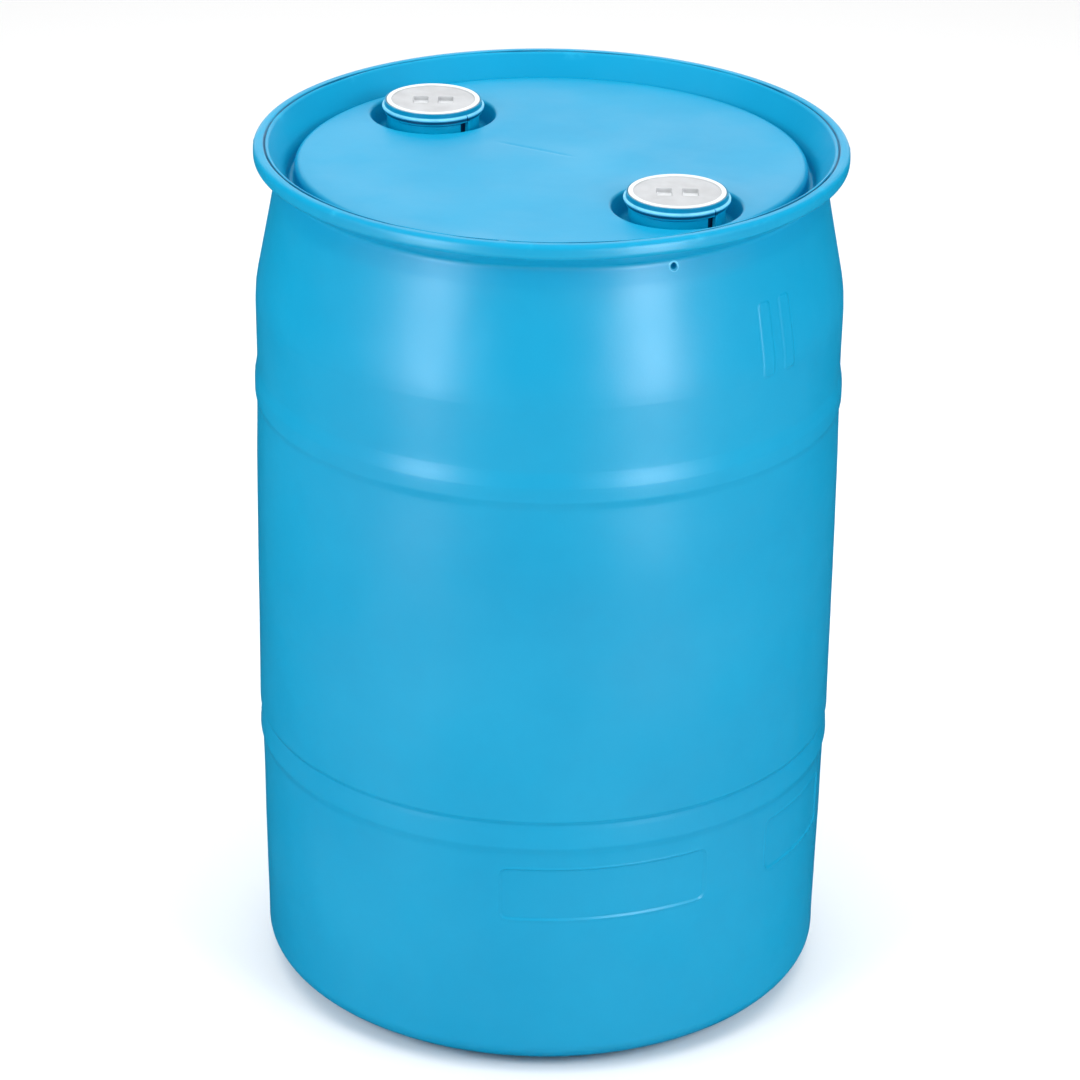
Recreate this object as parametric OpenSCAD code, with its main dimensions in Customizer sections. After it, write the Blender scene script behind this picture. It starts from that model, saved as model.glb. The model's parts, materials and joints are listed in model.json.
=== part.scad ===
// Closed-head plastic drum with two screw-in bungs.
// Origin at the centre of the foot ring's resting plane, +Z up, millimetres.

/* [Drum body] */
// Height from the floor to the top of the rim
drum_h = 890; // [880:1:900]
// Radius of the rolled rim at the top
rim_r = 292; // [290:0.5:293]
// Radius of the body between the two hoops
body_r = 293; // [291:0.5:294]
// Thickness of the blow-moulded wall
wall_t = 4.5; // [3.5:0.1:5]
// How far the hoops stand out from the wall
hoop_out = 1; // [0.4:0.1:1.5]
// Height of the lower hoop's groove
low_hoop_z = 286; // [270:1:300]
// Height of the upper hoop's crest
high_hoop_z = 644; // [630:1:650]
// Radius of the flat plateau inside the rim
plateau_r = 252; // [249:0.5:253]
// Depth of the plateau below the top of the rim
plateau_drop = 18; // [16:0.5:20]

/* [Bungs] */
// Distance from the drum's axis to each bung's axis
bung_offset = 177; // [172:0.5:178]
// Direction of the front bung around the drum's axis, in degrees
bung_angle = -47.4; // [-60:0.1:-40]
// Radius of the round recess that each bung stands in
recess_r = 65; // [62:0.5:65]
// Radius of the plug's flange
plug_r = 47; // [46:0.5:47]
// Outer radius of the neck above the recess floor
neck_r = 46.5; // [46:0.5:47]
// Outer radius of the snap flange round the neck
snap_r = 51.5; // [51:0.5:53]
// Thickness of each plug gasket
gasket_t = 2; // [1.5:0.1:2.5]

/* [Threads] */
// Crest radius of the front plug's fine pipe thread
fine_r = 29.9; // [29:0.1:30.5]
// Pitch of the fine thread
fine_pitch = 2.209; // [2:0.001:2.5]
// Depth of the fine thread
fine_depth = 1.4; // [1:0.1:1.5]
// Crest radius of the rear plug's coarse buttress thread
coarse_r = 34.7; // [33:0.1:35]
// Pitch of the coarse thread
coarse_pitch = 6; // [5:0.1:6.5]
// Depth of the coarse thread
coarse_depth = 2.4; // [1.5:0.1:2.6]
// Length of thread on each plug
thread_l = 23; // [18:1:24]
// Radial play between plug thread and neck thread
thread_play = 0.4; // [0.35:0.05:0.5]

/* [Moulded details] */
// Radius of the drain hole from the rim channel
drain_r = 3.2; // [2:0.1:4]
// Direction of the drain hole, in degrees
drain_angle = -64.5; // [-80:0.5:-60]
// Depth of the two plain name-plate recesses
plate_depth = 1; // [0.5:0.1:1.5]
// Height of the two upright bars on the shoulder
bar_out = 0.8; // [0.4:0.1:1]

/* [Hidden] */
$fn = 96;

eps = 0.5;          // how far a cutter runs past the face it opens
contact_gap = 0.05; // gap between a gasket and each face it seals on
arc_step = 15;      // degrees of turn in one straight piece of a rounded corner

// Heights
rim_bead_h = 14;
rim_bead_z = drum_h - rim_bead_h;
plateau_z = drum_h - plateau_drop;
waist_z = drum_h - 31;
channel_z = drum_h - 39;
head_t = 4;
under_head_z = channel_z - head_t;
shoulder_z = 742;
low_band_h = 34;
plate_z = 181;
plate_h = 55;
base_rise = 10;
base_t = 6;

// Radii
waist_r = rim_r - 27.5;
rim_in_r = rim_r - 14;
low_wall_r = body_r - 6.2;
low_taper = 4.8;
heel_w = 66;
heel_h = 34;
foot_out_r = low_wall_r - heel_w;
foot_in_r = foot_out_r - 20;
channel_out_r = plateau_r + 6.5;

// Bung heights, all absolute
collar_top_z = drum_h - 3.5;
snap_top_z = drum_h - 8.5;
snap_t = 3;
ledge_z = drum_h - 13;
flange_z = ledge_z + gasket_t + 2 * contact_gap;
plug_top_z = drum_h - 2.5;
face_z = plug_top_z - 1.5;
pocket_z = face_z - 5;
skirt_z = flange_z - thread_l - 1;
flange_base_t = 4;
housing_z = under_head_z - flange_base_t;

drum_blue = [0.0, 0.50, 0.72];
plug_white = [0.93, 0.94, 0.93];
gasket_black = [0.07, 0.07, 0.08];

// ---- outline helpers ----

function unit(v) = v / norm(v);
function flat2(c) = [c[0], c[1]];
function turn(a0, a1) = (a1 - a0 + 540) % 360 - 180;

// Arc that rounds corner b, between a and c, with radius r
function corner(a, b, c, r) =
    r <= 0 ? [b] :
    let (
        u = unit(a - b),
        v = unit(c - b),
        half = acos(u * v) / 2,
        mid = b + unit(u + v) * r / sin(half),
        p = b + u * r / tan(half) - mid,
        q = b + v * r / tan(half) - mid,
        start = atan2(p.y, p.x),
        sweep = turn(start, atan2(q.y, q.x)),
        n = max(1, ceil(abs(sweep) / arc_step))
    )
    [for (i = [0:n]) mid + r * [cos(start + sweep * i / n), sin(start + sweep * i / n)]];

// Closed outline from corners [x, y, radius]
function rounded(path) =
    let (n = len(path))
    [for (i = [0:n - 1]) each corner(
        flat2(path[(i + n - 1) % n]), flat2(path[i]), flat2(path[(i + 1) % n]), path[i][2])];

// Quarter ellipse from the foot ring up into the wall
function heel(r0, z0, w, h, n = 8) =
    [for (i = [0:n]) [r0 + w * sin(90 * i / n), z0 + h * (1 - cos(90 * i / n)), 0]];

// ---- drum body ----

// Outer face of the wall from the heel to the waist, as corners
function wall_corners(inset) = [
    [low_wall_r + low_taper - inset, low_hoop_z - low_band_h, 20],
    [body_r + hoop_out * 0.4 - inset, low_hoop_z - 24, 10],
    [body_r - hoop_out * 1.6 - inset, low_hoop_z, 4],
    [body_r + hoop_out * 0.4 - inset, low_hoop_z + 5, 6],
    [body_r - inset, high_hoop_z - 20, 8],
    [body_r + hoop_out - inset, high_hoop_z - 11, 8],
    [body_r + hoop_out - inset, high_hoop_z + 3, 12],
    [body_r - hoop_out * 0.6 - inset, high_hoop_z + 19, 16],
    [body_r - 1 - inset, shoulder_z, 150]
];

// Everything inside the outer surface, rim included
module outer_form() {
    rotate_extrude() polygon(rounded(concat(
        [[0, base_rise, 0], [foot_in_r - 26, base_rise, 14], [foot_in_r, 0, 12], [foot_out_r, 0, 0]],
        heel(foot_out_r, 0, heel_w, heel_h),
        wall_corners(0),
        [
            [waist_r + 9, waist_z - 21, 40],
            [waist_r - 0.5, waist_z, 6],
            [rim_r - 7, rim_bead_z - 2, 6],
            [rim_r, rim_bead_z - 1, 3],
            [rim_r, drum_h, 5],
            [rim_in_r, drum_h, 5],
            [channel_out_r + 1, waist_z, 14],
            [channel_out_r - 0.5, channel_z, 3],
            [plateau_r, channel_z, 2.5],
            [plateau_r, plateau_z, 7],
            [0, plateau_z, 0]
        ]
    )));
}

// The space that the drum holds, before the bung bosses take their share
module hollow_form() {
    rotate_extrude() polygon(rounded(concat(
        [
            [0, base_rise + base_t, 0], [foot_in_r - 24, base_rise + base_t, 14],
            [foot_in_r + 2, base_t, 14], [foot_out_r, base_t, 0]
        ],
        heel(foot_out_r, base_t, heel_w - wall_t, heel_h),
        wall_corners(wall_t),
        [
            [waist_r + 3.5, under_head_z - 8, 14],
            [waist_r - 2, under_head_z, 4],
            [plateau_r - wall_t, under_head_z, 3],
            [plateau_r - wall_t - 1, plateau_z - wall_t, 6],
            [0, plateau_z - wall_t, 0]
        ]
    )));
}

// Children stand on a bung's axis and aren't turned, so both bungs face the same way
module at_bung(side) {
    angle = bung_angle + (side == "front" ? 0 : 180);
    translate([bung_offset * cos(angle), bung_offset * sin(angle), 0]) children();
}

module bung_boss(side) {
    at_bung(side) translate([0, 0, under_head_z])
        cylinder(r = recess_r + 3, h = plateau_z - under_head_z);
}

// Round recess with a soft lip, open at the top
module recess_cut(side) {
    at_bung(side) rotate_extrude() polygon(rounded([
        [0, channel_z, 0], [recess_r - 8, channel_z, 5], [recess_r - 1.5, plateau_z, 3],
        [recess_r + 1.5, plateau_z + 1.5, 0], [recess_r + 1.5, drum_h, 0], [0, drum_h, 0]
    ]));
}

// Solid between two heights and two directions, from r0 to r1
module wall_patch(angle, sweep, z0, z1, r0, r1) {
    rotate(angle) rotate_extrude(angle = sweep)
        polygon([[r0, z0], [r1, z0], [r1, z1], [r0, z1]]);
}

// Plain name-plate recess low on the wall, one depth all over although the wall slants
module name_plate(angle, sweep) {
    function floor_r(z) =
        low_wall_r - plate_depth + low_taper * (z - heel_h) / (low_hoop_z - low_band_h - heel_h);
    rotate(angle) rotate_extrude(angle = sweep) polygon([
        [floor_r(plate_z), plate_z], [body_r + 5, plate_z],
        [body_r + 5, plate_z + plate_h], [floor_r(plate_z + plate_h), plate_z + plate_h]
    ]);
}

// Upright bar that follows the shoulder's curve
module shoulder_bar(angle) {
    bar_sweep = 3;
    rotate(angle) rotate_extrude(angle = bar_sweep) polygon([
        [body_r - 4, 728], [body_r - 1.6 + bar_out, 729], [body_r - 2.6 + bar_out, 746],
        [body_r - 8.4 + bar_out, 782], [body_r - 11.6 + bar_out, 799], [body_r - 15, 800]
    ]);
}

module drum_body() color(drum_blue) {
    hole_r = neck_r + 0.1;
    difference() {
        union() {
            difference() {
                outer_form();
                difference() {
                    hollow_form();
                    bung_boss("front");
                    bung_boss("rear");
                }
            }
            shoulder_bar(-45.5);
            shoulder_bar(-39.5);
            // pinch-off seam across the dished base
            translate([-150, -1.5, base_rise - 2.5]) cube([300, 3, 4]);
        }
        for (side = ["front", "rear"]) {
            recess_cut(side);
            at_bung(side) translate([0, 0, under_head_z - eps])
                cylinder(r = hole_r, h = head_t + 2 * eps);
        }
        name_plate(-98, 42);
        name_plate(-39, 25);
        // drain hole, level, from the channel to the outside
        rotate(drain_angle) translate([plateau_r + 3, 0, channel_z + 2])
            rotate([0, 90, 0]) cylinder(r = drain_r, h = 30);
    }
}

// ---- threads ----

// Screw with a ridge that climbs one pitch a turn, cut flat at z0 and z1
// ridge is a list of [share of the pitch, share of the depth]
module screw(crest_r, depth, pitch, z0, z1, ridge, sides = 36) {
    rows = len(ridge);
    turns = ceil((z1 - z0) / pitch) + 2;
    count = turns * sides;
    root_r = crest_r - depth;
    // one helical line of points for each corner of the ridge, row by row along the helix
    points = [
        for (i = [0:count], k = [0:rows - 1])
            let (a = 360 * i / sides, r = root_r + depth * ridge[k][1])
            [r * cos(a), r * sin(a), z0 + pitch * (i / sides - 1 + ridge[k][0])]
    ];
    bottom = len(points);
    all_points = concat(points, [[0, 0, z0 - 1.6 * pitch], [0, 0, z0 + pitch * (turns + 0.1)]]);
    // corner k of column i; a corner past the last one is the first corner one turn on
    function at(i, k) = k < rows ? i * rows + k : (i + sides) * rows;
    last = count - sides;
    flanks = [
        for (i = [0:last - 1], k = [0:rows - 1])
            each [[at(i, k), at(i + 1, k + 1), at(i + 1, k)], [at(i, k), at(i, k + 1), at(i + 1, k + 1)]]
    ];
    // fans that close the helix at its two ends
    low_edge = [for (i = [0:sides]) at(i, 0)];
    start_step = [for (k = [0:rows]) at(0, k)];
    high_edge = [for (i = [0:sides]) at(last + i, 0)];
    end_step = [for (k = [0:rows]) at(last, k)];
    low_fan = concat(
        [for (i = [0:sides - 1]) [bottom, low_edge[i], low_edge[i + 1]]],
        [for (k = [0:rows - 1]) [bottom, start_step[k + 1], start_step[k]]]
    );
    high_fan = concat(
        [for (i = [0:sides - 1]) [bottom + 1, high_edge[i + 1], high_edge[i]]],
        [for (k = [0:rows - 1]) [bottom + 1, end_step[k], end_step[k + 1]]]
    );
    intersection() {
        polyhedron(all_points, concat(flanks, low_fan, high_fan));
        translate([0, 0, z0]) cylinder(r = crest_r + 5, h = z1 - z0);
    }
}

sharp_ridge = [[0, 0], [0.5, 1]];
buttress_ridge = [[0, 0], [0.2, 0], [0.62, 1], [0.82, 1]];

// ---- bung pieces ----

// Start of a neck's thread below its sleeve, in step with the thread of the plug in it
function neck_thread_z(pitch) = skirt_z - pitch * ceil((skirt_z - housing_z + eps) / pitch);

// Moulded-in neck: base flange under the head, neck, snap flange, collar and threaded sleeve
module bung_housing(side, crest_r, depth, pitch, ridge) {
    bore_r = crest_r + thread_play;
    sleeve_r = bore_r + 4;
    notch_angle = -52;
    // rib beside the notch, which stays out of the plug's seat
    rib_step_z = ledge_z - 2;
    rib_top_z = snap_top_z - 1;
    key_rib = [
        [neck_r - 1, channel_z + 0.3], [neck_r + 4, channel_z + 0.3], [neck_r + 4, rib_top_z],
        [plug_r + 1, rib_top_z], [plug_r + 1, rib_step_z], [neck_r - 1, rib_step_z]
    ];
    color(drum_blue) at_bung(side) difference() {
        union() {
            rotate_extrude() polygon(rounded([
                [sleeve_r, housing_z, 0], [sleeve_r, ledge_z - 5, 1.5],
                [neck_r - 3.4, ledge_z - 5, 1.5], [neck_r - 3.4, housing_z, 0],
                [recess_r - 9, housing_z, 1.5], [recess_r - 9, under_head_z, 0],
                [neck_r, under_head_z, 0], [neck_r, ledge_z - 4, 0.6],
                [plug_r + 2, ledge_z - 2.5, 0.5], [plug_r + 2, snap_top_z - snap_t, 0.5],
                [snap_r, snap_top_z - snap_t, 0.8], [snap_r, snap_top_z, 1],
                [plug_r + 2, snap_top_z + 0.6, 0.8], [plug_r + 2, collar_top_z, 0.6],
                [plug_r + 0.4, collar_top_z, 0], [plug_r + 0.4, ledge_z, 0],
                [bore_r - depth - 2, ledge_z, 0], [bore_r - depth - 2, housing_z, 0]
            ]));
            rotate(notch_angle + 7.6) rotate_extrude(angle = 3.4) polygon(key_rib);
        }
        screw(bore_r, depth, pitch, neck_thread_z(pitch), ledge_z + eps, ridge);
        // key notch in the neck's side, and the split of the snap flange above it
        wall_patch(notch_angle, 7.4, channel_z + 1, ledge_z - 3, neck_r - 2.6, snap_r + 2);
        wall_patch(
            notch_angle + 5, 1.4, snap_top_z - snap_t - 1, snap_top_z + 1, plug_r + 2.4, snap_r + 2);
    }
}

module plug_gasket(side, crest_r) {
    color(gasket_black) at_bung(side) translate([0, 0, ledge_z + contact_gap])
        rotate_extrude() polygon(rounded([
            [crest_r + 0.8, 0, 0.3], [plug_r - 1.5, 0, 0.5],
            [plug_r - 1.5, gasket_t, 0.5], [crest_r + 0.8, gasket_t, 0.3]
        ]));
}

// One of the two pockets that a bung wrench turns the plug by
module wrench_pocket() {
    near = 5;
    far = 20;
    half = 10;
    translate([0, 0, pocket_z]) linear_extrude(drum_h - pocket_z)
        polygon(rounded([[near, -half, 2], [far, -half, 2], [far, half, 2], [near, half, 2]]));
}

// Flanged cup: raised ring round a dished face, threaded skirt below
module bung_plug(side, crest_r, depth, pitch, ridge) {
    root_r = crest_r - depth;
    color(plug_white) at_bung(side) difference() {
        union() {
            rotate_extrude() polygon(rounded([
                [0, flange_z - 2, 0], [root_r - 0.2, flange_z - 2, 0], [root_r - 0.2, flange_z, 0],
                [plug_r, flange_z, 0.8], [plug_r, plug_top_z, 1.2],
                [plug_r - 4.5, plug_top_z, 0.8], [plug_r - 5, face_z, 0.6], [0, face_z, 0]
            ]));
            screw(crest_r, depth, pitch, skirt_z, flange_z - 1, ridge);
        }
        translate([0, 0, skirt_z - eps]) cylinder(r = root_r - 3.5, h = ledge_z - skirt_z + eps);
        wrench_pocket();
        rotate(180) wrench_pocket();
    }
}

module front_bung_housing() bung_housing("front", fine_r, fine_depth, fine_pitch, sharp_ridge);
module rear_bung_housing() bung_housing("rear", coarse_r, coarse_depth, coarse_pitch, buttress_ridge);
module front_plug_gasket() plug_gasket("front", fine_r);
module rear_plug_gasket() plug_gasket("rear", coarse_r);
module front_bung_plug() bung_plug("front", fine_r, fine_depth, fine_pitch, sharp_ridge);
module rear_bung_plug() bung_plug("rear", coarse_r, coarse_depth, coarse_pitch, buttress_ridge);

drum_body();
front_bung_housing();
rear_bung_housing();
front_plug_gasket();
rear_plug_gasket();
front_bung_plug();
rear_bung_plug();
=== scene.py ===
"""Looks of a closed-head plastic drum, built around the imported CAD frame.

Outlines and places are in millimetres until a mesh is made; every Blender object is in metres.
"""
import json
import math

import bmesh
import bpy
import numpy as np
from mathutils import Matrix, Vector, geometry, noise


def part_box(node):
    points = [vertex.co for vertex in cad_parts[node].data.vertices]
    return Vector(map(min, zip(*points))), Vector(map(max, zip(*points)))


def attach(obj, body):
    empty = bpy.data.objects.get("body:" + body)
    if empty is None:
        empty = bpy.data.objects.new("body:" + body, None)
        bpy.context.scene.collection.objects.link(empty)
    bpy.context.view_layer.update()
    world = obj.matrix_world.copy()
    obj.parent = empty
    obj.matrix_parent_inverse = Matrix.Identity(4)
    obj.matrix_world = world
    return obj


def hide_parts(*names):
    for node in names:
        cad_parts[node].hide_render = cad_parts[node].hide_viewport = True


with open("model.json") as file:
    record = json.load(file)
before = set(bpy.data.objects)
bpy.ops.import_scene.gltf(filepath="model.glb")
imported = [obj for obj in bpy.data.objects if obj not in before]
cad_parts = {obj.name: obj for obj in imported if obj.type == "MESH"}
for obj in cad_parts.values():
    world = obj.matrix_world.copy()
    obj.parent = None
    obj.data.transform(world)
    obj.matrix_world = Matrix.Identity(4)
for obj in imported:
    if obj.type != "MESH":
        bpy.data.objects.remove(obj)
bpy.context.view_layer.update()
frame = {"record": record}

MM = 0.001
WELD = 1e-5


# ---- sizes that the frame gives, in millimetres ----

def node_box(node):
    low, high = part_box(node)
    return low / MM, high / MM


SHELL_HIGH = node_box("drum_body")[1]
DRUM_H = SHELL_HIGH.z
HOOP_R = SHELL_HIGH.x
RIM_R = HOOP_R - 2
BODY_R = HOOP_R - 1
LOW_WALL_R = BODY_R - 6.2
WAIST_R = RIM_R - 27.5
HEAD_Z = DRUM_H - 18
WAIST_Z = DRUM_H - 31
CHANNEL_Z = DRUM_H - 39
UNDER_HEAD_Z = CHANNEL_Z - 4
HEEL_W = 66
HEEL_H = 34
FOOT_R = LOW_WALL_R - HEEL_W
BASE_RISE = 10
BASE_T = 6
WALL_T = 4.5
HEAD_R = 245
BASE_R = 156

PLATES = [(-77.0, 42.0), (-26.5, 25.0)]
PLATE_Z = (181, 236)
PLATE_DEPTH = 1.0
BARS = [-44.0, -38.0]
BAR_SWEEP = 3.0
BAR_Z = (728, 800)
BAR_OUT = 0.8
PARTING = [0.0, 180.0]
SEAM_X = 150
GROOVE_R = 281.0
TRIM_ANGLE = -99.0
DRAIN_ANGLE = -64.5
DRAIN_Z = CHANNEL_Z + 2
DRAIN_R = 3.2

RECESS_R = 66.5
HOLE_R = 46.6
BOSS_R = 68
NOTCH_ANGLE = -52.0


def screw_pitch(side):
    """The thread's pitch, from the ratio that couples the plug's lift to its turn."""
    for coupling in frame["record"]["behaviour"]["couplings"]:
        if coupling["joint"] == side + "_plug_lift":
            return coupling["ratio"] * 2 * math.pi / MM
    raise ValueError(side)


def bung(side, crest_r, depth, ridge):
    plug_low, plug_high = node_box(side + "_bung_plug")
    neck_low, neck_high = node_box(side + "_bung_housing")
    gasket_low, gasket_high = node_box(side + "_plug_gasket")
    centre = (plug_low + plug_high) / 2
    return {
        "side": side,
        "centre": (centre.x, centre.y),
        "flange_r": (plug_high.x - plug_low.x) / 2,
        "base_r": (neck_high.x - neck_low.x) / 2,
        "gasket_r": (gasket_high.x - gasket_low.x) / 2,
        "gasket_z": (gasket_low.z, gasket_high.z),
        "ledge_z": gasket_low.z - 0.05,
        "flange_z": gasket_high.z + 0.05,
        "top_z": plug_high.z,
        "skirt_z": plug_low.z,
        "neck_z": neck_low.z,
        "collar_z": neck_high.z,
        "crest_r": crest_r,
        "depth": depth,
        "pitch": screw_pitch(side),
        "ridge": ridge,
    }


# a ridge is a list of (share of the pitch, share of the depth)
SHARP_RIDGE = [(0, 0), (0.44, 0.93), (0.5, 1), (0.56, 0.93)]
POCKET_X = 12.5
POCKET_HALF_X = 7.5
POCKET_HALF_Y = 10
POCKET_CORNER = 2
BUTTRESS_RIDGE = [
    (0, 0), (0.18, 0), (0.24, 0.08), (0.58, 0.95),
    (0.64, 1), (0.8, 1), (0.84, 0.95), (0.97, 0.08),
]
BUNGS = [bung("front", 29.9, 1.4, SHARP_RIDGE), bung("rear", 34.7, 2.4, BUTTRESS_RIDGE)]


# ---- outlines ----

def arc_corner(a, b, c, radius, step=9.0):
    """Points of the arc that rounds corner b, between a and c."""
    a, b, c = Vector(a), Vector(b), Vector(c)
    u, v = (a - b).normalized(), (c - b).normalized()
    half = u.angle(v) / 2
    mid = b + (u + v).normalized() * radius / math.sin(half)
    p, q = b + u * radius / math.tan(half) - mid, b + v * radius / math.tan(half) - mid
    start = math.atan2(p.y, p.x)
    sweep = (math.atan2(q.y, q.x) - start + 3 * math.pi) % (2 * math.pi) - math.pi
    count = max(1, math.ceil(abs(math.degrees(sweep)) / step))
    turns = [start + sweep * i / count for i in range(count + 1)]
    return [(mid.x + radius * math.cos(t), mid.y + radius * math.sin(t)) for t in turns]


def rounded(path, closed=False):
    """An outline through corners (x, y, radius); the two ends of an open one stay sharp."""
    points = []
    for i, (x, y, radius) in enumerate(path):
        end = not closed and i in (0, len(path) - 1)
        if end or radius <= 0:
            points.append((x, y))
            continue
        points += arc_corner(path[i - 1][:2], (x, y), path[(i + 1) % len(path)][:2], radius)
    return points


def heel(r0, z0, width, height, count=26):
    """Quarter ellipse from the foot ring up into the wall, as sharp corners."""
    turns = [math.pi / 2 * i / count for i in range(count + 1)]
    return [(r0 + width * math.sin(t), z0 + height * (1 - math.cos(t)), 0) for t in turns]


def split_evenly(points, gap):
    """Cuts each side of an outline in half until no side is longer than gap(low, high) allows."""
    def halves(a, b):
        if math.dist(a, b) <= gap(min(a[1], b[1]), max(a[1], b[1])):
            return [b]
        mid = ((a[0] + b[0]) / 2, (a[1] + b[1]) / 2)
        return halves(a, mid) + halves(mid, b)

    out = [points[0]]
    for a, b in zip(points, points[1:]):
        out += halves(a, b)
    return out


def fine_zones(zones, coarse):
    """A gap rule: each zone (low, high, gap) sets a finer gap where it is crossed."""
    def gap(low, high):
        inside = [g for z0, z1, g in zones if low < z1 and high > z0]
        return min(inside, default=coarse)
    return gap


def columns(step, bands):
    """Angles round a lathe, step apart, closer in each band (centre, half width, step)."""
    angles = set(np.round(np.arange(-180, 180, step), 4))
    for centre, half, fine in bands:
        angles = {a for a in angles if abs((a - centre + 180) % 360 - 180) > half}
        band = np.arange(centre - half, centre + half + fine / 2, fine)
        angles |= set(np.round((band + 180) % 360 - 180, 4))
    ordered = sorted(angles)
    kept = [a for a, b in zip(ordered, ordered[1:] + [ordered[0] + 360]) if b - a > 0.04]
    return np.array(kept)


def smooth(x):
    x = np.clip(x, 0, 1)
    return x * x * (3 - 2 * x)


def bump(x):
    """A soft bump of height 1 at x = 0 that ends at x = -1 and 1."""
    return smooth(1 - np.abs(x))


def box_distance(u, v, half_u, half_v, corner):
    """Distance to a rounded rectangle's edge, negative inside it."""
    qu, qv = np.abs(u) - half_u + corner, np.abs(v) - half_v + corner
    outside = np.hypot(np.maximum(qu, 0), np.maximum(qv, 0))
    return outside + np.minimum(np.maximum(qu, qv), 0) - corner


def angle_gap(a, b):
    """Signed difference of two angles in degrees."""
    return (a - b + 180) % 360 - 180


# ---- meshes ----

class Skin:
    """Points and faces of one piece, gathered in millimetres and welded into a mesh."""

    def __init__(self):
        self.points = []
        self.faces = []

    def add(self, points, faces):
        start = len(self.points)
        self.points += [tuple(p) for p in points]
        self.faces += [tuple(start + i for i in face) for face in faces]

    def grid(self, points, rows, cols):
        """Quads between neighbouring rings of points, each ring closed on itself."""
        faces = []
        for i in range(rows - 1):
            for j in range(cols):
                k = (j + 1) % cols
                faces.append((i * cols + j, i * cols + k, (i + 1) * cols + k, (i + 1) * cols + j))
        self.add(points, faces)

    def lathe(self, outline, angles, centre=(0, 0), mould=None):
        """Turns an outline of (r, z) about an upright axis; mould moves the points it makes."""
        flat = np.array(outline, float)
        r, z = flat[:, :1], flat[:, 1:]
        along = np.gradient(flat, axis=0)
        along /= np.maximum(np.linalg.norm(along, axis=1, keepdims=True), 1e-9)
        a = np.array(angles, float)[None, :]
        r, z, a = np.broadcast_arrays(r, z, a)
        if mould:
            r, z = mould(r, z, a, along[:, 1:], -along[:, :1])
        turn = np.radians(a)
        points = np.stack([centre[0] + r * np.cos(turn), centre[1] + r * np.sin(turn), z], -1)
        self.grid(points.reshape(-1, 3), len(outline), len(angles))

    def thread(self, root_r, depth, pitch, ridge, z0, z1, angles, centre, phase_z):
        """A threaded wall from z0 to z1; its ridge climbs one pitch a turn and fades at both ends."""
        shares = np.array([share for share, _ in ridge])
        heights = np.array([height for _, height in ridge])
        turns = math.ceil((z1 - z0) / pitch) + 3
        first = math.floor((z0 - phase_z) / pitch) - 1
        rows = turns * len(ridge)
        step = np.arange(rows)
        base = phase_z + pitch * (first + step // len(ridge) + shares[step % len(ridge)])
        a = np.sort(np.array(angles) % 360)
        z = base[:, None] + pitch * a[None, :] / 360
        fade = smooth((z - z0) / pitch) * smooth((z1 - z) / pitch)
        r = root_r + depth * heights[step % len(ridge)][:, None] * fade
        z = np.clip(z, z0, z1)
        turn = np.radians(a)
        points = np.stack([centre[0] + r * np.cos(turn), centre[1] + r * np.sin(turn), z], -1)
        faces = []
        cols = len(a)
        for i in range(rows - 1):
            for j in range(cols):
                # past the last column the helix goes on one turn higher in the first column
                k, lift = (j + 1, 0) if j + 1 < cols else (0, len(ridge))
                if i + 1 + lift < rows:
                    corners = (i, j), (i + lift, k), (i + 1 + lift, k), (i + 1, j)
                    faces.append(tuple(row * cols + col for row, col in corners))
        self.add(points.reshape(-1, 3), faces)

    def patch(self, loops, inside, keep, height):
        """A sheet between closed loops of (x, y), with points inside, where keep(x, y) holds."""
        flat = [Vector(p) for loop in loops for p in loop]
        edges = []
        start = 0
        for loop in loops:
            edges += [(start + i, start + (i + 1) % len(loop)) for i in range(len(loop))]
            start += len(loop)
        flat += [Vector(p) for p in inside]
        found, _, triangles = geometry.delaunay_2d_cdt(flat, edges, [], 0, 1e-4)[:3]
        kept = []
        for triangle in triangles:
            x = sum(found[i].x for i in triangle) / 3
            y = sum(found[i].y for i in triangle) / 3
            if keep(x, y):
                kept.append(tuple(triangle))
        self.add([(p.x, p.y, height(p.x, p.y)) for p in found], kept)

    def make(self, name, sharp=40.0):
        mesh = bpy.data.meshes.new(name)
        mesh.from_pydata((np.array(self.points) * MM).tolist(), [], self.faces)
        work = bmesh.new()
        work.from_mesh(mesh)
        bmesh.ops.remove_doubles(work, verts=work.verts, dist=WELD)
        bmesh.ops.dissolve_degenerate(work, dist=1e-7, edges=work.edges)
        loose = [v for v in work.verts if not v.link_faces]
        bmesh.ops.delete(work, geom=loose, context="VERTS")
        bmesh.ops.recalc_face_normals(work, faces=work.faces)
        work.to_mesh(mesh)
        work.free()
        mesh.shade_smooth()
        mesh.set_sharp_from_angle(angle=math.radians(sharp))
        piece = bpy.data.objects.new(name, mesh)
        bpy.context.scene.collection.objects.link(piece)
        return piece


def circle(radius, angles, centre=(0, 0)):
    turns = np.radians(angles)
    return list(zip(centre[0] + radius * np.cos(turns), centre[1] + radius * np.sin(turns)))


def field(x0, x1, y0, y1, gap, keep):
    """Points of a triangular lattice over a rectangle, where keep(x, y) holds."""
    points = []
    for j in range(int((y1 - y0) / (gap * 0.866)) + 1):
        y = y0 + j * gap * 0.866
        for i in range(int((x1 - x0) / gap) + 1):
            x = x0 + (i + 0.5 * (j % 2)) * gap
            if keep(x, y):
                points.append((x, y))
    return points


# ---- the blow-moulded shell ----

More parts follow.
